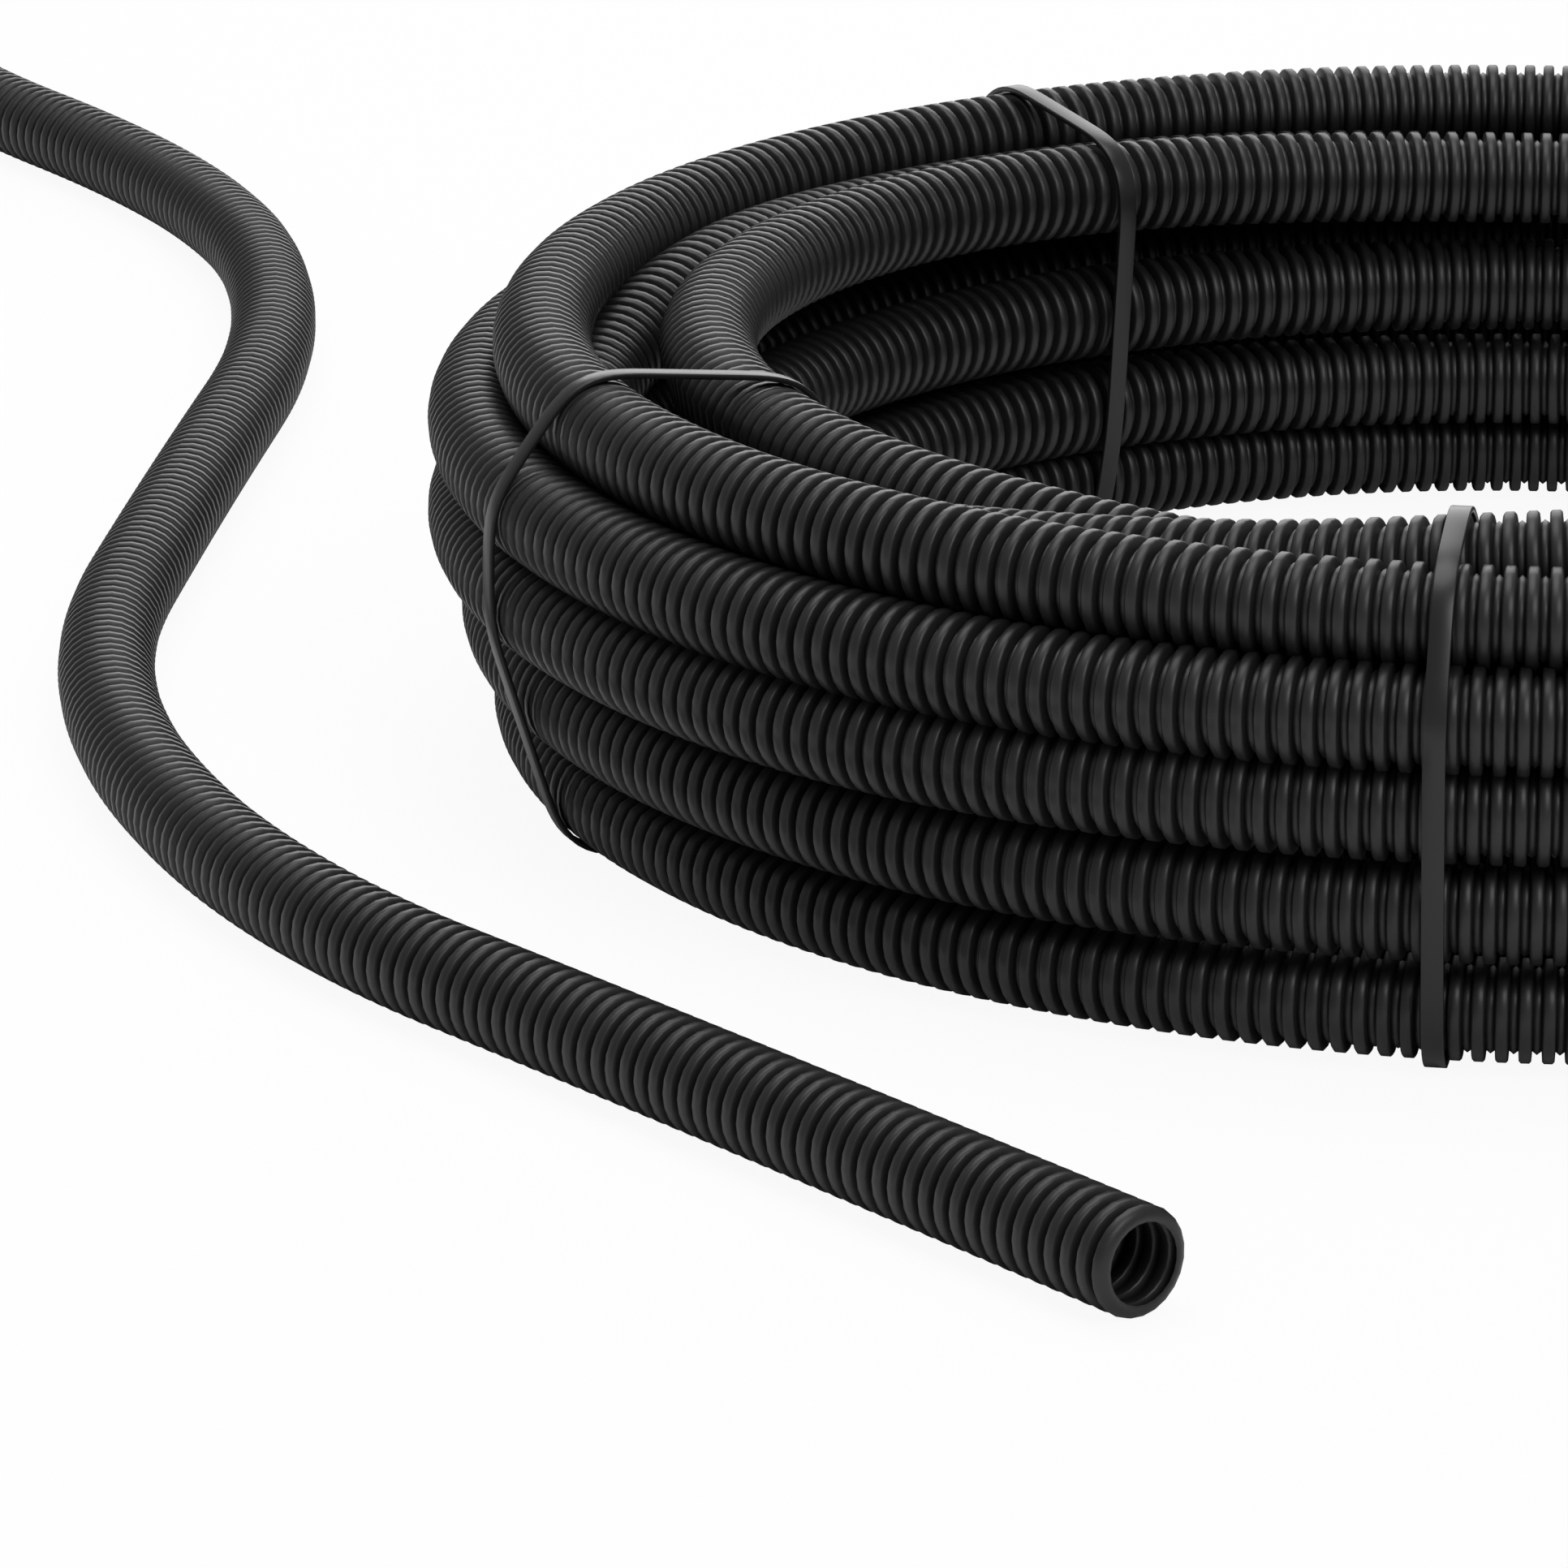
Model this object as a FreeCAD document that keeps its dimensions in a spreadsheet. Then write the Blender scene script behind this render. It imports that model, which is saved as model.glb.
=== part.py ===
import FreeCAD, Part
import math
import os
import Sketcher
from FreeCAD import Placement, Rotation, Vector

# A coil of corrugated conduit tied with flat straps, with its free end laid out round the coil.
# Millimetres. X right, Y away from the viewer, Z up, the origin on the floor at the coil's centre.
# The places of the turns are counted in conduit diameters, out and up from the bottom outer turn.
SIZES = (
    ("conduit_od", 25, "outside of the ribs"),
    ("conduit_wall", 3.25, "from the tops of the ribs outside to the tops of the ribs inside"),
    ("coil_radius", 257.5, "middle of the bottom outer turn"),
    ("turn_c_out", 0.16, "outer column, second from the floor"),
    ("turn_c_up", 0.98, "the same"),
    ("turn_b_out", 0.48, "outer column, third"),
    ("turn_b_up", 1.95, "the same"),
    ("turn_a_out", 0.45, "outer column, fourth"),
    ("turn_a_up", 2.93, "the same"),
    ("turn_e_out", -0.28, "outer column, top"),
    ("turn_e_up", 3.68, "the same"),
    ("turn_f_out", -1.10, "middle of the top face"),
    ("turn_f_up", 3.02, "the same"),
    ("turn_g_out", -1.88, "inner column, top"),
    ("turn_g_up", 3.52, "the same"),
    ("turn_h_out", -1.58, "inner column, third"),
    ("turn_h_up", 2.00, "the same"),
    ("turn_i_out", -2.05, "inner column, second"),
    ("turn_i_up", 1.00, "the same"),
    ("turn_j_out", -1.45, "inner column, on the floor"),
    ("strap_width", 5.2, "flat strap"),
    ("strap_thickness", 1.4, "flat strap"),
    ("strap_slack", 0.3, "between a strap and the turns it holds"),
    ("lane_slack", 0.3, "round the conduit where it leaves the bottom turn"),
    ("lane_angle", 27, "degrees of the bottom turn that the leaving conduit passes"),
)

# The turns in order round the coil's section, from the bottom outer one.
SECTION = ("turn_d", "turn_c", "turn_b", "turn_a", "turn_e", "turn_f", "turn_g", "turn_h", "turn_i", "turn_j")
# A tight strap goes straight across the hollows, so it bears only on these.
STRAPPED = ("turn_d", "turn_b", "turn_a", "turn_e", "turn_g", "turn_i", "turn_j")
ON_FLOOR = ("turn_d", "turn_j")
# Where the straps go round the coil, in degrees from +X.
STRAPS = {"tie_back_left": 121, "tie_left": 202, "tie_front": 260, "tie_right": 322, "tie_back_right": 48}

# The free end leaves the bottom outer turn straight, for this far.
FIRST_RUN = 145
# Its later corners, from there round the back of the coil and down its left side to the open end.
FREE_END = (
    (271, 308), (261, 480), (218, 665), (148, 848), (2, 990), (-205, 1046), (-394, 1005), (-509, 874),
    (-491, 705), (-368, 520), (-337.5, 361), (-358, 184), (-375.5, 3), (-322.5, -167), (-218.5, -290.5),
    (-118, -415.5),
)
# How much of the shorter run beside a corner its bend takes.
BEND_SHARE = 0.45

doc = FreeCAD.newDocument("corrugated_conduit")
sheet = doc.addObject("Spreadsheet::Sheet", "sizes")
for row, (alias, value, note) in enumerate(SIZES, start=1):
    sheet.set(f"A{row}", alias.replace("_", " "))
    sheet.set(f"B{row}", str(value))
    sheet.setAlias(f"B{row}", alias)
    sheet.set(f"C{row}", note)
doc.recompute()

# The clear way inside the ribs.
CONDUIT_BORE = "sizes.conduit_od - 2 * sizes.conduit_wall"
# The bottom turns lie on the straps that pass under them.
BOTTOM_HEIGHT = "sizes.conduit_od / 2 + sizes.strap_thickness + sizes.strap_slack"


def turn_radius(turn):
    if turn == "turn_d":
        return "sizes.coil_radius"
    return f"sizes.coil_radius + sizes.{turn}_out * sizes.conduit_od"


def turn_height(turn):
    if turn in ON_FLOOR:
        return BOTTOM_HEIGHT
    return f"{BOTTOM_HEIGHT} + sizes.{turn}_up * sizes.conduit_od"


def draw_section(sketch, turns):
    """A closed polygon through the middles of the turns, across and up from the coil's axis."""
    corners = [(sheet.evalExpression(turn_radius(turn)), sheet.evalExpression(turn_height(turn)))
               for turn in turns]
    following = corners[1:] + corners[:1]
    for start, end in zip(corners, following):
        sketch.addGeometry(Part.LineSegment(Vector(*start, 0), Vector(*end, 0)), False)
    for side, turn in enumerate(turns):
        sketch.addConstraint(Sketcher.Constraint("Coincident", side, 2, (side + 1) % len(turns), 1))
        across = sketch.addConstraint(Sketcher.Constraint("DistanceX", -1, 1, side, 1, corners[side][0]))
        sketch.setExpression(f"Constraints[{across}]", turn_radius(turn))
        up = sketch.addConstraint(Sketcher.Constraint("DistanceY", -1, 1, side, 1, corners[side][1]))
        sketch.setExpression(f"Constraints[{up}]", turn_height(turn))


def build_coil():
    """The tied turns as one turned solid, with a lane where the free end leaves the bottom turn."""
    body = doc.addObject("PartDesign::Body", "coil")
    section = body.newObject("Sketcher::SketchObject", "coil_section")
    section.Placement = Placement(Vector(0, 0, 0), Rotation(Vector(1, 0, 0), 90))
    draw_section(section, SECTION)
    core = body.newObject("PartDesign::Revolution", "coil_core")
    core.Profile = section
    core.ReferenceAxis = (section, ["V_Axis"])
    core.Angle = 360
    doc.recompute()
    for name in SECTION:
        turn = body.newObject("PartDesign::AdditiveTorus", name)
        turn.setExpression("Radius1", turn_radius(name))
        turn.setExpression("Radius2", "sizes.conduit_od / 2")
        turn.setExpression("Placement.Base.z", turn_height(name))
    gap = body.newObject("PartDesign::SubtractiveTorus", "lane_start")
    gap.setExpression("Radius1", turn_radius("turn_d"))
    gap.setExpression("Radius2", "sizes.conduit_od / 2 + sizes.lane_slack")
    gap.setExpression("Angle3", "sizes.lane_angle")
    gap.setExpression("Placement.Base.z", BOTTOM_HEIGHT)
    lane = body.newObject("PartDesign::SubtractiveCylinder", "lane")
    lane.Placement = Placement(Vector(0, 0, 0), Rotation(Vector(1, 0, 0), -90))
    lane.setExpression("Radius", "sizes.conduit_od / 2 + sizes.lane_slack")
    lane.setExpression("Height", "sizes.coil_radius")
    lane.setExpression("Placement.Base.x", turn_radius("turn_d"))
    lane.setExpression("Placement.Base.z", BOTTOM_HEIGHT)
    return body


def rounded_route(corners):
    """Straight runs joined by arcs that touch both of their neighbours."""
    edges = []
    here = corners[0]
    for before, corner, after in zip(corners, corners[1:], corners[2:]):
        back = before - corner
        ahead = after - corner
        taken = BEND_SHARE * min(back.Length, ahead.Length)
        back.normalize()
        ahead.normalize()
        half_turn = (math.pi - back.getAngle(ahead)) / 2
        radius = taken / math.tan(half_turn)
        inward = (back + ahead).normalize()
        middle = corner + inward * (radius / math.cos(half_turn) - radius)
        start = corner + back * taken
        end = corner + ahead * taken
        edges.append(Part.LineSegment(here, start).toShape())
        edges.append(Part.Arc(start, middle, end).toShape())
        print(f"bend of {math.degrees(2 * half_turn):.1f} degrees, radius {radius:.0f} mm")
        here = end
    edges.append(Part.LineSegment(here, corners[-1]).toShape())
    return Part.Wire(edges)


def free_end_corners():
    """From the cut face of the bottom turn down to the floor and out to the open end."""
    on_floor = sheet.conduit_od / 2
    on_straps = sheet.evalExpression(BOTTOM_HEIGHT)
    leaving = [Vector(sheet.coil_radius, 0, on_straps), Vector(sheet.coil_radius, FIRST_RUN, on_straps)]
    return leaving + [Vector(x, y, on_floor) for x, y in FREE_END]


def build_free_end():
    """The conduit that leaves the coil, a tube open at its outer end."""
    route = doc.addObject("Part::Feature", "free_end_route")
    route.Shape = rounded_route(free_end_corners())
    body = doc.addObject("PartDesign::Body", "free_end")
    section = body.newObject("Sketcher::SketchObject", "free_end_section")
    section.Placement = Placement(Vector(0, 0, 0), Rotation(Vector(1, 0, 0), 90))
    section.setExpression("Placement.Base.x", turn_radius("turn_d"))
    section.setExpression("Placement.Base.z", BOTTOM_HEIGHT)
    for size in ("sizes.conduit_od", CONDUIT_BORE):
        diameter = sheet.evalExpression(size)
        circle = section.addGeometry(Part.Circle(Vector(0, 0, 0), Vector(0, 0, 1), diameter / 2), False)
        section.addConstraint(Sketcher.Constraint("Coincident", circle, 3, -1, 1))
        across = section.addConstraint(Sketcher.Constraint("Diameter", circle, diameter))
        section.setExpression(f"Constraints[{across}]", size)
    doc.recompute()
    tube = body.newObject("PartDesign::AdditivePipe", "free_end_tube")
    tube.Profile = section
    tube.Spine = (route, [f"Edge{number}" for number in range(1, len(route.Shape.Edges) + 1)])
    doc.recompute()
    wall_area = math.pi * (sheet.conduit_od ** 2 - sheet.evalExpression(CONDUIT_BORE) ** 2) / 4
    length = route.Shape.Length
    print(f"free end {length:.0f} mm long, its volume {body.Shape.Volume / (wall_area * length):.4f}"
          " of section times length")
    return body


def build_strap(name, angle):
    """One flat strap pulled tight round the coil's section."""
    line = doc.addObject("Sketcher::SketchObject", f"{name}_line")
    line.Placement = Placement(Vector(0, 0, 0), Rotation(Vector(0, 0, 1), angle) * Rotation(Vector(1, 0, 0), 90))
    draw_section(line, STRAPPED)
    inside = doc.addObject("Part::Offset2D", f"{name}_inside")
    inside.Source = line
    inside.setExpression("Value", "sizes.conduit_od / 2 + sizes.strap_slack")
    band = doc.addObject("Part::Offset2D", f"{name}_band")
    band.Source = inside
    band.Fill = True
    band.setExpression("Value", "sizes.strap_thickness")
    strap = doc.addObject("Part::Extrusion", name)
    strap.Base = band
    strap.DirMode = "Normal"
    strap.Symmetric = True
    strap.Solid = True
    strap.setExpression("LengthFwd", "sizes.strap_width")
    return strap


nodes = [build_coil(), build_free_end()]
for strap_name, strap_angle in STRAPS.items():
    nodes.append(build_strap(strap_name, strap_angle))
doc.recompute()

for item in doc.Objects:
    if "Invalid" in item.State or "Error" in item.State:
        raise RuntimeError(f"{item.Name} did not compute")
for node in nodes:
    if node.Shape.isNull() or not node.Shape.isValid() or len(node.Shape.Solids) != 1:
        raise RuntimeError(f"{node.Name} is not one valid solid")
os.makedirs("parts", exist_ok=True)
for node in nodes:
    node.Label = node.Name
    node.Shape.exportStep(f"parts/{node.Label}.step")
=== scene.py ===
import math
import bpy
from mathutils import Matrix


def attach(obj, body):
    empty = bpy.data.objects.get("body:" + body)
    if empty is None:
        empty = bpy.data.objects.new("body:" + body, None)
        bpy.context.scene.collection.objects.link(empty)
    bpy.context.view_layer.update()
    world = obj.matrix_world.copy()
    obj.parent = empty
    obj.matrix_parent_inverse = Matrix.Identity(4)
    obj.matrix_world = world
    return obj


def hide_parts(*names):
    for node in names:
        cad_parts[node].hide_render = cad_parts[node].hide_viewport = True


bl_info = {
    "name": "Corrugated Conduit Coil",
    "version": (1, 0, 0),
    "blender": (4, 5, 0),
    "location": "3D View > Sidebar > Conduit",
    "description": "Winds a tied coil of corrugated conduit and lays its free end on the floor",
    "category": "Object",
}

import bpy
import numpy as np
from bpy.props import FloatProperty, FloatVectorProperty, IntProperty, PointerProperty
from bpy.types import Operator, Panel, PropertyGroup
from mathutils import Vector

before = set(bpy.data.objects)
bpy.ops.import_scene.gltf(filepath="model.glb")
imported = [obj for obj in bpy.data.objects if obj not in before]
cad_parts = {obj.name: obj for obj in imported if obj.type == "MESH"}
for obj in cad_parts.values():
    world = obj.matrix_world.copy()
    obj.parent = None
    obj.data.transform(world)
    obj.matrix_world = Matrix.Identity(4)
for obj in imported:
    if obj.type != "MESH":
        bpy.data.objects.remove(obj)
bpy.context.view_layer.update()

# The points that steer the free end, from the coil's bottom turn round the back and forward to the
# open end.
FREE_END_ROUTE = (
    (0.2575, 0.0, 0.0142), (0.2575, 0.145, 0.0142), (0.271, 0.308, 0.0125),
    (0.261, 0.480, 0.0125), (0.218, 0.665, 0.0125), (0.148, 0.848, 0.0125),
    (0.002, 0.990, 0.0125), (-0.205, 1.046, 0.0125), (-0.394, 1.005, 0.0125),
    (-0.509, 0.874, 0.0125), (-0.491, 0.705, 0.0125), (-0.368, 0.520, 0.0125),
    (-0.3375, 0.361, 0.0125), (-0.358, 0.184, 0.0125), (-0.3755, 0.003, 0.0125),
    (-0.3225, -0.167, 0.0125), (-0.2185, -0.2905, 0.0125), (-0.118, -0.4155, 0.0125),
)
# Steps of the free end's spline from one of its points to the next.
ROUTE_RESOLUTION = 48

# Where each turn lies in the coil's section, in conduit diameters out and up from the bottom outer
# turn, in the order in which the conduit is wound.
PLACES = (
    ("bottom_outer", 0.0, 0.0),
    ("second_outer", 0.16, 0.98),
    ("third_outer", 0.48, 1.95),
    ("fourth_outer", 0.45, 2.93),
    ("top_outer", -0.28, 3.68),
    ("top_middle", -1.10, 3.02),
    ("top_inner", -1.88, 3.52),
    ("third_inner", -1.58, 2.00),
    ("second_inner", -2.05, 1.00),
    ("bottom_inner", -1.45, 0.0),
    ("middle", -0.45, 2.15),
)
LAST_TURN = len(PLACES) - 1
# Degrees round the coil between which each turn but the last climbs or drops into the next place.
SHIFTS = (
    (52, 27), (52, 27), (52, 27), (54, 32), (62, 38),
    (70, 45), (72, 48), (70, 46), (66, 44), (84, 40),
)
# The top inner turn swings inward of a straight drop by up to half of this, to pass the middle one.
SWING = (-0.55, 0.0)
# The middle of the section, in diameters out and up.
SECTION_MIDDLE = (-0.7, 1.9)
# Degrees round the coil: where the last turn is cut, and from one point of a turn to the next.
INNER_END_ANGLE = 86
TURN_STEP = 0.5

# How far the turns wander from their places, in diameters out and then up. Each row has 8 or 16
# values, at even angles round the coil from its right side, anticlockwise from above.
WANDER = {
    "bottom_outer": ((0, 0, 0, -0.05, -0.10, -0.03, 0, 0), (0, 0, 0, 0, 0, 0, 0, 0)),
    "second_outer": ((0, 0, 0, 0.03, 0.06, 0.07, 0, 0), (0, 0, 0, 0, 0, -0.01, 0.02, 0)),
    "third_outer": ((0, 0, 0, 0.03, 0.07, 0.05, -0.20, 0), (0, 0, 0, 0, 0, 0.01, 0.03, 0)),
    "fourth_outer": ((0, 0, 0, 0.02, 0.09, 0.08, -0.03, 0), (0, 0, 0, 0, -0.02, -0.08, -0.06, 0)),
    "top_outer": ((-0.05, -0.05, 0.05, 0.10, 0.16, 0.28, 0.30, 0.12),
                  (0, -0.04, -0.08, -0.05, 0, 0, 0, 0)),
    "top_middle": ((0, 0, 0, 0.05, 0.10, 0.09, 0.12, 0.11,
                    0.58, 0.50, 0.13, 0.13, 0.17, 0.10, 0.02, 0),
                   (0, 0, 0, 0.01, 0, 0.12, 0.20, 0.26,
                    -0.19, -0.11, 0.25, 0.63, 0.95, 0.74, 0.56, 0.18)),
    "top_inner": ((0, 0, -0.05, 0, 0.10, 0, -0.15, -0.26),
                  (0, -0.2, -0.29, -0.065, 0, -0.12, -0.33, -0.1)),
    "third_inner": ((0, 0, -0.12, -0.12, 0, 0, 0, 0), (0, 0, -0.03, -0.02, 0, 0, 0, 0)),
    "second_inner": ((0, 0.1, 0.35, 0.35, 0.2, 0, 0, 0), (0, 0, -0.11, -0.10, -0.05, 0, 0, 0)),
    "bottom_inner": ((0, 0.1, 0.15, -0.1, 0, 0, 0, 0), (0, 0, 0, 0.02, 0, 0, 0, 0)),
    "middle": ((0, -0.02, -0.05, -0.09, -0.12, -0.12, -0.12, -0.12,
                -0.11, -0.06, 0, 0, 0, 0, 0, 0),
               (0, 0, 0, 0, 0, -0.03, -0.08, -0.20,
                -0.24, -0.14, 0.34, 0.56, 0.65, 0.52, 0.33, 0.12)),
}

# One rib along the conduit, from the start of a groove: share of the pitch, and height, which is 0
# at the groove's depth and 1 at the top. Two narrow slots are cut deeper, at the groove's sides.
SLOT = -0.36
RIB = ((0.0, SLOT), (0.20, 0.03), (0.40, SLOT), (0.43, 0.76), (0.52, 1.0), (0.88, 1.0),
       (0.97, 0.76))
# The inside of a rib, as share of the pitch from a cut end inward, and depth from the bore to the
# hollow under the rib.
INNER_RIB = ((0.02, 0.0), (0.10, 0.15), (0.15, 1.0), (0.45, 1.0), (0.50, 0.15), (0.58, 0.0))
# The ribs stop this far short of a cut end, before its rounded edge.
RIM = 0.0024
# Radii that differ by less than this are the same.
SAME_RADIUS = 1e-6
# The conduit's direction at a point is taken over this length to either side.
DIRECTION_REACH = 0.0015
# The turns' rings have few points on the arc, in degrees, that faces the middle of the section.
HIDDEN_ARC = 140
HIDDEN_STEPS = 3

# Where the straps go round the coil, in degrees from its right side.
STRAP_ANGLES = {"tie_back_left": 121, "tie_left": 202, "tie_front": 260, "tie_right": 322,
                "tie_back_right": 48}
# The length from one point of a strap to the next, how many points to either side a bend is spread
# over, and the points round a turn that the strap bears on.
STRAP_STEP = 0.0025
STRAP_SPREAD = 12
STRAP_BEARING = 20

# The camera's focal length and the side of the square picture, in pixels.
FOCAL_PIXELS = 10885.2
PICTURE_PIXELS = 1932
# Half the floor's side, and how much of what the camera sees of it is plain white.
FLOOR_REACH = 14
FLOOR_WHITE = 0.93
WORLD_STRENGTH = 0.28
# Name, place, diameter and power of each lamp. They aim at the floor at the coil's middle.
LAMPS = (
    ("overhead", (-0.4, 0.4, 2.6), 2.2, 30),
    ("back", (0.1, 3.3, 1.5), 2.8, 43),
    ("front", (0.9, -2.0, 2.2), 1.6, 27),
)


class ConduitSizes(PropertyGroup):
    outside: FloatProperty(name="Outside diameter", description="Over the tops of the ribs",
                           default=0.025, unit="LENGTH")
    bore: FloatProperty(name="Bore", description="Clear way through the conduit",
                        default=0.0185, unit="LENGTH")
    pitch: FloatProperty(name="Rib pitch", description="From one rib to the next",
                         default=0.00519, unit="LENGTH")
    groove: FloatProperty(name="Groove depth",
                          description="From the top of a rib to the groove's floor",
                          default=0.0021, unit="LENGTH")
    wall: FloatProperty(name="Wall", description="Thickness of the plastic",
                        default=0.0009, unit="LENGTH")
    bore_shown: FloatProperty(name="Bore shown",
                              description="How far in from a cut end the bore is made",
                              default=0.10, unit="LENGTH")
    free_sides: IntProperty(name="Sides of the free end", description="Points round the free end",
                            default=23)
    coil_sides: IntProperty(name="Sides of the turns", description="Points round each tied turn",
                            default=18)
    hidden_sides: IntProperty(name="Sides of the middle turn",
                              description="Points round the turn amid the others", default=12)


class CoilSizes(PropertyGroup):
    radius: FloatProperty(name="Coil radius", description="Middle of the bottom outer turn",
                          default=0.2575, unit="LENGTH")
    lift: FloatProperty(name="Lift",
                        description="The bottom turns lie this far above the floor, on the straps",
                        default=0.0017, unit="LENGTH")


class StrapSizes(PropertyGroup):
    width: FloatProperty(name="Width", description="Width of the flat strap",
                         default=0.0052, unit="LENGTH")
    thickness: FloatProperty(name="Thickness", description="Thickness of the strap",
                             default=0.0014, unit="LENGTH")
    slack: FloatProperty(name="Slack", description="Between the strap and the ribs",
                         default=0.0003, unit="LENGTH")
    edge: FloatProperty(name="Edge", description="Radius of the strap's edges",
                        default=0.0003, unit="LENGTH")
    stiffness: FloatProperty(name="Stiffness",
                             description="Length over which the strap rounds a bend",
                             default=0.0055, unit="LENGTH")


class FinishColours(PropertyGroup):
    conduit: FloatVectorProperty(name="Conduit", description="Plastic of the conduit",
                                 subtype="COLOR", default=(0.010, 0.010, 0.0105), min=0, max=1)
    conduit_worn: FloatVectorProperty(name="Conduit, paler", description="Paler cloudy patches",
                                      subtype="COLOR", default=(0.015, 0.015, 0.0155),
                                      min=0, max=1)
    strap: FloatVectorProperty(name="Strap", description="Plastic of the straps",
                               subtype="COLOR", default=(0.009, 0.009, 0.0095), min=0, max=1)
    strap_worn: FloatVectorProperty(name="Strap, paler", description="Paler patches of the straps",
                                    subtype="COLOR", default=(0.013, 0.013, 0.0135),
                                    min=0, max=1)
    floor: FloatVectorProperty(name="Floor", description="Floor and background",
                               subtype="COLOR", default=(0.95, 0.95, 0.95), min=0, max=1)


class StageSizes(PropertyGroup):
    eye: FloatVectorProperty(name="Eye", description="Where the camera stands",
                             subtype="XYZ", unit="LENGTH", default=(-0.19375, -2.155, 0.6702))
    tilt: FloatProperty(name="Tilt", description="How far the camera looks down",
                        subtype="ANGLE", default=math.radians(17.6))
    field: FloatProperty(name="Field of view", description="Across the square picture",
                         subtype="ANGLE",
                         default=2 * math.atan(PICTURE_PIXELS / 2 / FOCAL_PIXELS))


# Shapes

def unit_vectors(vectors):
    return vectors / np.linalg.norm(vectors, axis=1)[:, None]


def marks_along(line):
    """How far along a line each of its points lies."""
    steps = np.linalg.norm(np.diff(line, axis=0), axis=1)
    return np.concatenate(([0.0], np.cumsum(steps)))


def points_at(line, distances):
    """Places at distances along a line of close points."""
    marks = marks_along(line)
    return np.stack([np.interp(distances, marks, values) for values in line.T], axis=1)


def line_length(line):
    return float(np.linalg.norm(np.diff(line, axis=0), axis=1).sum())


def along(line, distances):
    """Places and directions at distances along a line of close points."""
    length = marks_along(line)[-1]
    low = np.clip(distances - DIRECTION_REACH, 0.0, length - DIRECTION_REACH)
    high = np.clip(distances + DIRECTION_REACH, DIRECTION_REACH, length)
    return points_at(line, distances), unit_vectors(points_at(line, high) - points_at(line, low))


def ways_round(path):
    """Directions at the points of a closed path."""
    return unit_vectors(np.roll(path, -1, axis=0) - np.roll(path, 1, axis=0))


def spread(sides, hidden_arc=0, hidden_steps=0):
    """Angles round a ring, even but for a hidden arc about zero that has few steps."""
    if not hidden_steps:
        return np.arange(sides) * 2 * math.pi / sides
    half = hidden_arc / 2
    shown = np.linspace(half, 360 - half, sides - hidden_steps + 1)
    hidden = np.linspace(360 - half, 360 + half, hidden_steps + 1)[1:-1]
    return np.radians(np.concatenate((shown, hidden)))


def rings_round(line, stations, angles, hidden_side=None):
    """A ring of points for each station, a distance along the line and a radius.

    hidden_side gives the way that the rings' zero angle faces at each point of the line, as an
    angle up from the side that lies to the right of the way along.
    """
    stations = np.array(stations)
    place, direction = along(line, stations[:, 0])
    aside = unit_vectors(np.cross(direction, (0.0, 0.0, 1.0)))
    over = np.cross(aside, direction)
    facing = np.zeros(len(stations))
    if hidden_side is not None:
        marks = np.linspace(0.0, line_length(line), len(line))
        facing = np.interp(stations[:, 0], marks, np.unwrap(hidden_side))
    angle = (facing[:, None] + angles[None, :])[:, :, None]
    spoke = np.cos(angle) * aside[:, None, :] + np.sin(angle) * over[:, None, :]
    return place[:, None, :] + stations[:, 1][:, None, None] * spoke


def skin(name, rings, material, closed=False, sharp_rings=()):
    """A mesh through rings of points, closed on itself or capped at both ends."""
    count, sides = rings.shape[:2]
    last = count if closed else count - 1
    ring = np.arange(last)[:, None]
    side = np.arange(sides)[None, :]
    after = (ring + 1) % count
    beside = (side + 1) % sides
    quads = np.stack([ring * sides + side, ring * sides + beside, after * sides + beside,
                      after * sides + side], axis=2).reshape(-1, 4)
    faces = quads.tolist()
    if not closed:
        faces.append(list(range(sides))[::-1])
        faces.append(list(range((count - 1) * sides, count * sides)))
    mesh = bpy.data.meshes.new(name)
    mesh.from_pydata(rings.reshape(-1, 3), [], faces)
    mesh.update()
    mesh.shade_smooth()
    ends = np.empty(2 * len(mesh.edges), dtype=int)
    mesh.edges.foreach_get("vertices", ends)
    first, second = ends.reshape(-1, 2).T // sides
    mesh.edges.foreach_set("use_edge_sharp", (first == second) & np.isin(first, sharp_rings))
    piece = bpy.data.objects.new(name, mesh)
    bpy.context.scene.collection.objects.link(piece)
    mesh.materials.append(material)
    return piece


def slot_radius(sizes):
    return sizes.outside / 2 - sizes.groove * (1 - SLOT)


def hollow_radius(sizes):
    """The radius of the bore under a rib."""
    return sizes.outside / 2 - sizes.wall


def rib_stations(sizes, length, cut_end):
    """Stations of the ribbed outside, from a groove at the start to a groove or a cut end."""
    count = round(length / sizes.pitch)
    pitch = length / count
    top = sizes.outside / 2
    stations = [((rib + share) * pitch, top - sizes.groove * (1 - height))
                for rib in range(count) for share, height in RIB]
    if not cut_end:
        return stations + [(length, slot_radius(sizes))]
    while stations[-1][0] > length - RIM:
        stations.pop()
    return stations


def bore_stations(sizes, length):
    """Stations of a cut end's rounded edge and of the rings inside it, from the edge inward."""
    top = sizes.outside / 2
    bore = sizes.bore / 2
    depth_and_radius = (
        (0.0022, top), (0.0011, top - 0.0003), (0.0004, top - 0.0010), (0.0, top - 0.0021),
        (0.0, bore + 0.0003), (0.0003, bore),
    )
    stations = [(length - depth, radius) for depth, radius in depth_and_radius]
    for rib in range(round(sizes.bore_shown / sizes.pitch)):
        for share, hollow in INNER_RIB:
            depth = (rib + share) * sizes.pitch
            stations.append((length - depth, bore + (hollow_radius(sizes) - bore) * hollow))
    return stations


def sharp_corners(stations, sizes):
    """The rings at the bottom of the slots outside, and at the hollows' walls in the bore."""
    corners = (slot_radius(sizes), hollow_radius(sizes))
    return [ring for ring, (_, radius) in enumerate(stations)
            if min(abs(radius - corner) for corner in corners) < SAME_RADIUS]


# Turns

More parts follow.
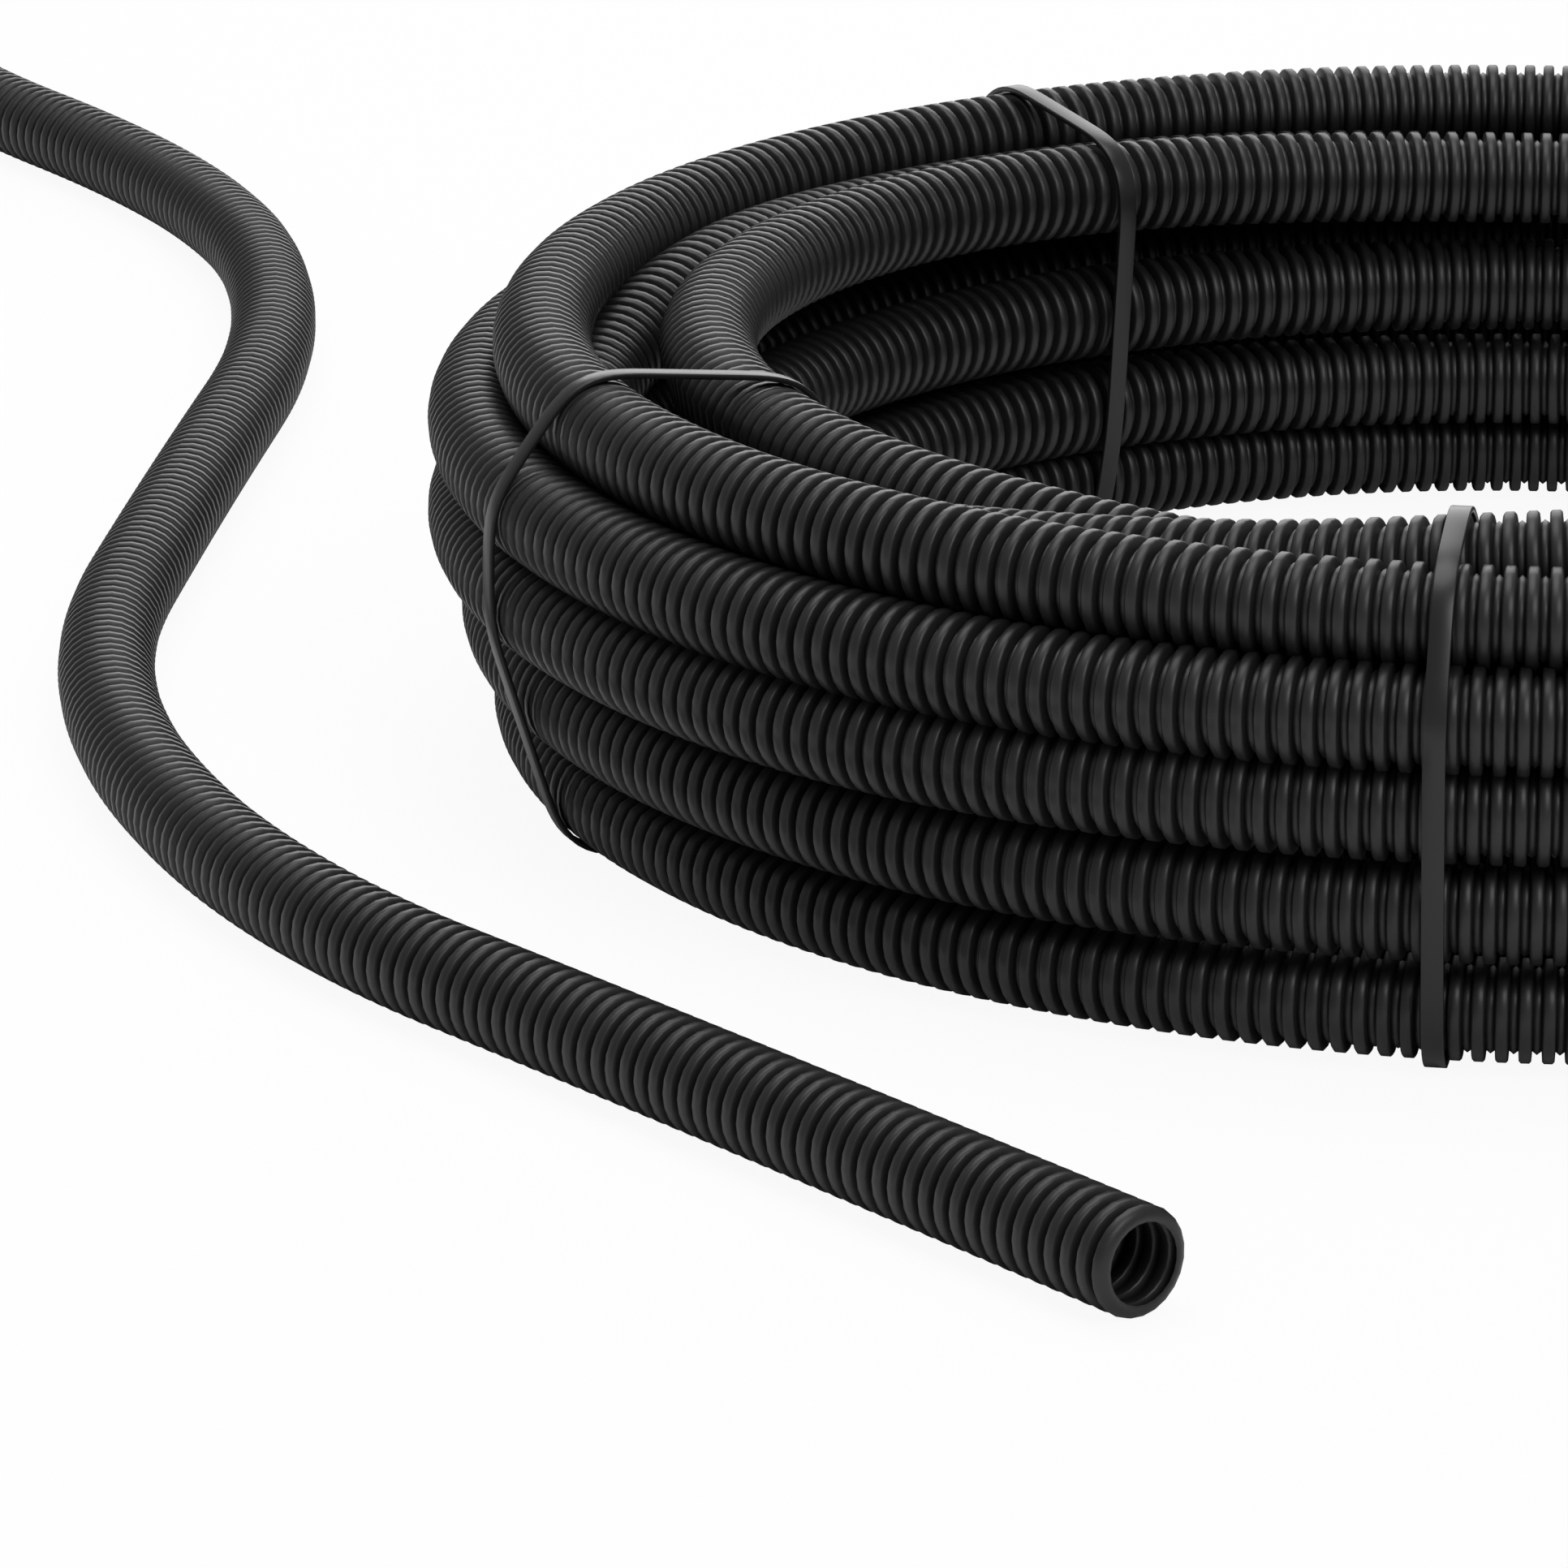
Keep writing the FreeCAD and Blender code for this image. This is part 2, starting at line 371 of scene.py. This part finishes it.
def smooth(share):
    """A share from 0 to 1 that starts and ends gently."""
    share = min(max(share, 0.0), 1.0)
    return share * share * (3 - 2 * share)


def between(values, degrees):
    """A smooth closed curve through values spread evenly round the coil."""
    step = 360 / len(values)
    index = int(degrees // step)
    share = degrees / step - index
    a, b, c, d = (values[(index + k) % len(values)] for k in (-1, 0, 1, 2))
    bend = 2 * a - 5 * b + 4 * c - d + share * (3 * (b - c) + d - a)
    return b + share / 2 * (c - a + share * bend)


def spot_in(index, degrees):
    """Out and up, in diameters, of a turn that keeps to its place."""
    name, out, up = PLACES[index]
    return np.array((out, up)) + [between(values, degrees % 360) for values in WANDER[name]]


def turn_spot(index, degrees):
    """Radius and height of a turn's middle at an angle; past its shift it is in the next place."""
    sizes = bpy.context.scene.conduit_sizes
    coil = bpy.context.scene.coil_sizes
    spot = spot_in(index, degrees)
    if index < LAST_TURN:
        start, end = SHIFTS[index]
        share = smooth((start - degrees) / (start - end))
        if share > 0:
            spot = spot + (spot_in(index + 1, degrees) - spot) * share
            if PLACES[index][0] == "top_inner":
                spot = spot + 2 * share * (1 - share) * np.array(SWING)
    radius = coil.radius + spot[0] * sizes.outside
    height = sizes.outside / 2 + coil.lift + spot[1] * sizes.outside
    return radius, height


def turn_end(index):
    """The angle down to which a turn is wound from 360 degrees."""
    return INNER_END_ANGLE if index == LAST_TURN else 0


def turn_line(index):
    """One turn, wound clockwise seen from above, from the coil's right side."""
    points = []
    for degrees in np.arange(360.0, turn_end(index) - TURN_STEP / 2, -TURN_STEP):
        radius, height = turn_spot(index, degrees)
        angle = math.radians(degrees)
        points.append((radius * math.cos(angle), radius * math.sin(angle), height))
    return np.array(points)


# Finishes

def noise(material, where, scale, detail):
    """A cloudy pattern whose scale is in clouds to the metre."""
    texture = material.node_tree.nodes.new("ShaderNodeTexNoise")
    texture.inputs["Scale"].default_value = scale
    texture.inputs["Detail"].default_value = detail
    material.node_tree.links.new(where.outputs["Object"], texture.inputs["Vector"])
    return texture.outputs["Fac"]


def plastic(name, dark, pale, roughness, patch_scale, bump):
    """Moulded plastic with cloudy colour, uneven gloss and a fine grain."""
    material = bpy.data.materials.new(name)
    material.use_nodes = True
    nodes = material.node_tree.nodes
    links = material.node_tree.links
    shader = nodes["Principled BSDF"]
    where = nodes.new("ShaderNodeTexCoord")
    patches = noise(material, where, scale=patch_scale, detail=6)
    colour = nodes.new("ShaderNodeMix")
    colour.data_type = "RGBA"
    colour.inputs["A"].default_value = (*dark, 1)
    colour.inputs["B"].default_value = (*pale, 1)
    links.new(patches, colour.inputs["Factor"])
    links.new(colour.outputs["Result"], shader.inputs["Base Color"])
    gloss = nodes.new("ShaderNodeMapRange")
    gloss.inputs["To Min"].default_value = roughness[0]
    gloss.inputs["To Max"].default_value = roughness[1]
    links.new(patches, gloss.inputs["Value"])
    links.new(gloss.outputs["Result"], shader.inputs["Roughness"])
    grain = noise(material, where, scale=2600, detail=2)
    raised = nodes.new("ShaderNodeBump")
    raised.inputs["Strength"].default_value = bump
    raised.inputs["Distance"].default_value = 0.0001
    links.new(grain, raised.inputs["Height"])
    links.new(raised.outputs["Normal"], shader.inputs["Normal"])
    return material


def conduit_plastic():
    colours = bpy.context.scene.finish_colours
    return bpy.data.materials.get("conduit_plastic") or plastic(
        "conduit_plastic", colours.conduit, colours.conduit_worn,
        roughness=(0.37, 0.48), patch_scale=35, bump=0.15)


def strap_plastic():
    colours = bpy.context.scene.finish_colours
    return bpy.data.materials.get("strap_plastic") or plastic(
        "strap_plastic", colours.strap, colours.strap_worn,
        roughness=(0.30, 0.38), patch_scale=60, bump=0.08)


# Operators

class CONDUIT_OT_stage(Operator):
    """Set up the floor, the lights, the background and the camera"""
    bl_idname = "conduit.set_stage"
    bl_label = "Set Stage"

    def execute(self, context):
        self.camera(context.scene)
        self.floor(context.scene)
        self.lights(context.scene)
        return {"FINISHED"}

    def camera(self, scene):
        stage = scene.stage_sizes
        data = bpy.data.cameras.new("camera")
        data.sensor_width = 36
        data.lens = data.sensor_width / 2 / math.tan(stage.field / 2)
        data.clip_end = 50
        camera = bpy.data.objects.new("camera", data)
        camera.location = stage.eye
        camera.rotation_euler = (math.pi / 2 - stage.tilt, 0, 0)
        scene.collection.objects.link(camera)
        scene.camera = camera

    def floor(self, scene):
        """A pale floor that takes shadows, and is mostly plain white to the camera."""
        mesh = bpy.data.meshes.new("floor")
        corners = [(-FLOOR_REACH, -FLOOR_REACH, 0), (FLOOR_REACH, -FLOOR_REACH, 0),
                   (FLOOR_REACH, FLOOR_REACH, 0), (-FLOOR_REACH, FLOOR_REACH, 0)]
        mesh.from_pydata(corners, [], [(0, 1, 2, 3)])
        floor = bpy.data.objects.new("floor", mesh)
        scene.collection.objects.link(floor)
        material = bpy.data.materials.new("floor_white")
        material.use_nodes = True
        nodes = material.node_tree.nodes
        links = material.node_tree.links
        shader = nodes["Principled BSDF"]
        shader.inputs["Base Color"].default_value = (*scene.finish_colours.floor, 1)
        shader.inputs["Roughness"].default_value = 0.9
        shader.inputs["Specular IOR Level"].default_value = 0.0
        white = nodes.new("ShaderNodeEmission")
        ray = nodes.new("ShaderNodeLightPath")
        share = nodes.new("ShaderNodeMath")
        share.operation = "MULTIPLY"
        share.inputs[1].default_value = FLOOR_WHITE
        links.new(ray.outputs["Is Camera Ray"], share.inputs[0])
        mixed = nodes.new("ShaderNodeMixShader")
        links.new(share.outputs["Value"], mixed.inputs["Fac"])
        links.new(shader.outputs["BSDF"], mixed.inputs[1])
        links.new(white.outputs["Emission"], mixed.inputs[2])
        links.new(mixed.outputs["Shader"], nodes["Material Output"].inputs["Surface"])
        mesh.materials.append(material)

    def lights(self, scene):
        world = bpy.data.worlds.new("studio")
        scene.world = world
        world.use_nodes = True
        background = world.node_tree.nodes["Background"]
        background.inputs["Color"].default_value = (1, 1, 1, 1)
        background.inputs["Strength"].default_value = WORLD_STRENGTH
        for name, place, size, power in LAMPS:
            data = bpy.data.lights.new(name, "AREA")
            data.shape = "DISK"
            data.size = size
            data.energy = power
            lamp = bpy.data.objects.new(name, data)
            lamp.location = place
            lamp.rotation_euler = (-Vector(place)).to_track_quat("-Z", "Y").to_euler()
            scene.collection.objects.link(lamp)


class CONDUIT_OT_free_end(Operator):
    """Lay the free end along its route, open at the cut"""
    bl_idname = "conduit.lay_free_end"
    bl_label = "Free End"

    def execute(self, context):
        sizes = context.scene.conduit_sizes
        line = self.route_line()
        length = line_length(line)
        stations = rib_stations(sizes, length, cut_end=True)
        stations += bore_stations(sizes, length)
        rings = rings_round(line, stations, spread(sizes.free_sides))
        piece = skin("free_end_conduit", rings, conduit_plastic(),
                     sharp_rings=sharp_corners(stations, sizes))
        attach(piece, "root")
        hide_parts("free_end")
        return {"FINISHED"}

    def route_line(self):
        """Close points along a smooth spline that the route's points steer."""
        curve = bpy.data.curves.new("free_end_route", "CURVE")
        curve.dimensions = "3D"
        spline = curve.splines.new("NURBS")
        spline.points.add(len(FREE_END_ROUTE) - 1)
        for point, corner in zip(spline.points, FREE_END_ROUTE):
            point.co = (*corner, 1)
        spline.order_u = 3
        spline.use_endpoint_u = True
        spline.resolution_u = ROUTE_RESOLUTION
        holder = bpy.data.objects.new("free_end_route", curve)
        mesh = bpy.data.meshes.new_from_object(holder)
        line = np.array([vertex.co[:] for vertex in mesh.vertices])
        bpy.data.meshes.remove(mesh)
        bpy.data.objects.remove(holder)
        bpy.data.curves.remove(curve)
        return line


class CONDUIT_OT_turns(Operator):
    """Wind the tied turns, one piece each, from the free end inward"""
    bl_idname = "conduit.wind_turns"
    bl_label = "Tied Turns"

    def execute(self, context):
        sizes = context.scene.conduit_sizes
        for index in range(len(PLACES)):
            line = turn_line(index)
            length = line_length(line)
            inner_end = index == LAST_TURN
            stations = rib_stations(sizes, length, cut_end=inner_end)
            if inner_end:
                stations += bore_stations(sizes, length)
            sides = sizes.hidden_sides if inner_end else sizes.coil_sides
            rings = rings_round(line, stations, spread(sides, HIDDEN_ARC, HIDDEN_STEPS),
                                self.inward(context.scene, index, len(line)))
            piece = skin(f"turn_{index + 1:02d}", rings, conduit_plastic(),
                         sharp_rings=sharp_corners(stations, sizes))
            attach(piece, "root")
            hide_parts("coil")
        return {"FINISHED"}

    def inward(self, scene, index, count):
        """The way from the turn's middle to the middle of the coil's section, along the turn."""
        sizes = scene.conduit_sizes
        coil = scene.coil_sizes
        middle = (coil.radius + SECTION_MIDDLE[0] * sizes.outside,
                  coil.lift + (0.5 + SECTION_MIDDLE[1]) * sizes.outside)
        ways = []
        for degrees in np.linspace(360, turn_end(index), count):
            radius, height = turn_spot(index, degrees)
            ways.append(math.atan2(middle[1] - height, radius - middle[0]))
        return np.array(ways)


class CONDUIT_OT_straps(Operator):
    """Tie the flat straps tight round the coil"""
    bl_idname = "conduit.tie_straps"
    bl_label = "Straps"

    def execute(self, context):
        for name, degrees in STRAP_ANGLES.items():
            rings = self.band(context.scene, degrees)
            piece = skin(f"{name}_strap", rings, strap_plastic(), closed=True)
            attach(piece, "root")
            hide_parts(name)
        return {"FINISHED"}

    def hull(self, spots):
        """The spots that a string pulled tight round them would touch, counterclockwise."""
        def half(ordered):
            kept = []
            for spot in ordered:
                while len(kept) > 1:
                    a, b = kept[-2], kept[-1]
                    if (b[0] - a[0]) * (spot[1] - a[1]) > (b[1] - a[1]) * (spot[0] - a[0]):
                        break
                    kept.pop()
                kept.append(spot)
            return kept[:-1]
        return half(sorted(spots)) + half(sorted(spots, reverse=True))

    def band(self, scene, degrees):
        """The strap's cross-section at each point of its path."""
        sizes = scene.strap_sizes
        path = self.rounded(self.tight(scene, degrees), sizes.stiffness)
        path[:, 1] = np.maximum(path[:, 1], sizes.thickness / 2)
        around = math.radians(degrees)
        outward = np.array((math.cos(around), math.sin(around), 0.0))
        sideways = np.array((-math.sin(around), math.cos(around), 0.0))
        upward = np.array((0.0, 0.0, 1.0))
        outline = self.outline(sizes)
        rings = []
        for (radius, height), (run, rise) in zip(path, ways_round(path)):
            middle = radius * outward + height * upward
            normal = rise * outward - run * upward
            rings.append([middle + across * sideways + proud * normal
                          for across, proud in outline])
        return np.array(rings)

    def tight(self, scene, degrees):
        """Close, even points along a limp strap pulled tight round the turns."""
        spots = self.hull([turn_spot(index, degrees) for index in range(len(PLACES))])
        sizes = scene.strap_sizes
        stand_off = scene.conduit_sizes.outside / 2 + sizes.slack + sizes.thickness / 2
        corners = []
        for before, spot, after in zip(spots[-1:] + spots[:-1], spots, spots[1:] + spots[:1]):
            first = math.atan2(spot[1] - before[1], spot[0] - before[0]) - math.pi / 2
            second = math.atan2(after[1] - spot[1], after[0] - spot[0]) - math.pi / 2
            last = first + (second - first) % (2 * math.pi)
            for facing in np.linspace(first, last, STRAP_BEARING):
                way = np.array((math.cos(facing), math.sin(facing)))
                corners.append(np.array(spot) + stand_off * way)
        corners = np.array(corners + corners[:1])
        length = marks_along(corners)[-1]
        where = np.linspace(0.0, length, round(length / STRAP_STEP), endpoint=False)
        return points_at(corners, where)

    def rounded(self, path, reach):
        """The path with its bends spread out, moved outward until it clears the turns again."""
        steps = np.arange(-STRAP_SPREAD, STRAP_SPREAD + 1)
        weights = np.exp(-0.5 * (steps * STRAP_STEP / reach) ** 2)
        total = sum(weight * np.roll(path, step, axis=0) for step, weight in zip(steps, weights))
        soft = total / weights.sum()
        ahead = ways_round(soft)
        outward = np.stack([ahead[:, 1], -ahead[:, 0]], axis=1)
        return soft + outward * np.max(np.sum((path - soft) * outward, axis=1))

    def outline(self, sizes):
        """The strap's cross-section, a rectangle with rounded edges."""
        half, thick, edge = sizes.width / 2, sizes.thickness / 2, sizes.edge
        corners = ((half, thick, 0), (-half, thick, 90), (-half, -thick, 180), (half, -thick, 270))
        points = []
        for x, y, start in corners:
            for turn in (0, 45, 90):
                angle = math.radians(start + turn)
                points.append((x - math.copysign(edge, x) + edge * math.cos(angle),
                               y - math.copysign(edge, y) + edge * math.sin(angle)))
        return points


class CONDUIT_PT_panel(Panel):
    """Sizes, colours and the steps that make the coil"""
    bl_idname = "CONDUIT_PT_panel"
    bl_label = "Conduit Coil"
    bl_space_type = "VIEW_3D"
    bl_region_type = "UI"
    bl_category = "Conduit"

    def draw(self, context):
        layout = self.layout
        for group in GROUPS:
            box = layout.box()
            settings = getattr(context.scene, group)
            for name in settings.bl_rna.properties.keys():
                if name not in ("rna_type", "name"):
                    box.prop(settings, name)
        for step in STEPS:
            layout.operator(step.bl_idname)


GROUPS = {"conduit_sizes": ConduitSizes, "coil_sizes": CoilSizes, "strap_sizes": StrapSizes,
          "finish_colours": FinishColours, "stage_sizes": StageSizes}
STEPS = (CONDUIT_OT_stage, CONDUIT_OT_free_end, CONDUIT_OT_turns, CONDUIT_OT_straps)
CLASSES = (*GROUPS.values(), *STEPS, CONDUIT_PT_panel)


def register():
    for item in CLASSES:
        bpy.utils.register_class(item)
    for name, group in GROUPS.items():
        setattr(bpy.types.Scene, name, PointerProperty(type=group))


def unregister():
    for name in GROUPS:
        delattr(bpy.types.Scene, name)
    for item in reversed(CLASSES):
        bpy.utils.unregister_class(item)


def main():
    register()
    bpy.context.scene.view_settings.view_transform = "Standard"
    bpy.ops.conduit.set_stage()
    bpy.ops.conduit.lay_free_end()
    bpy.ops.conduit.wind_turns()
    bpy.ops.conduit.tie_straps()


if __name__ == "__main__":
    main()
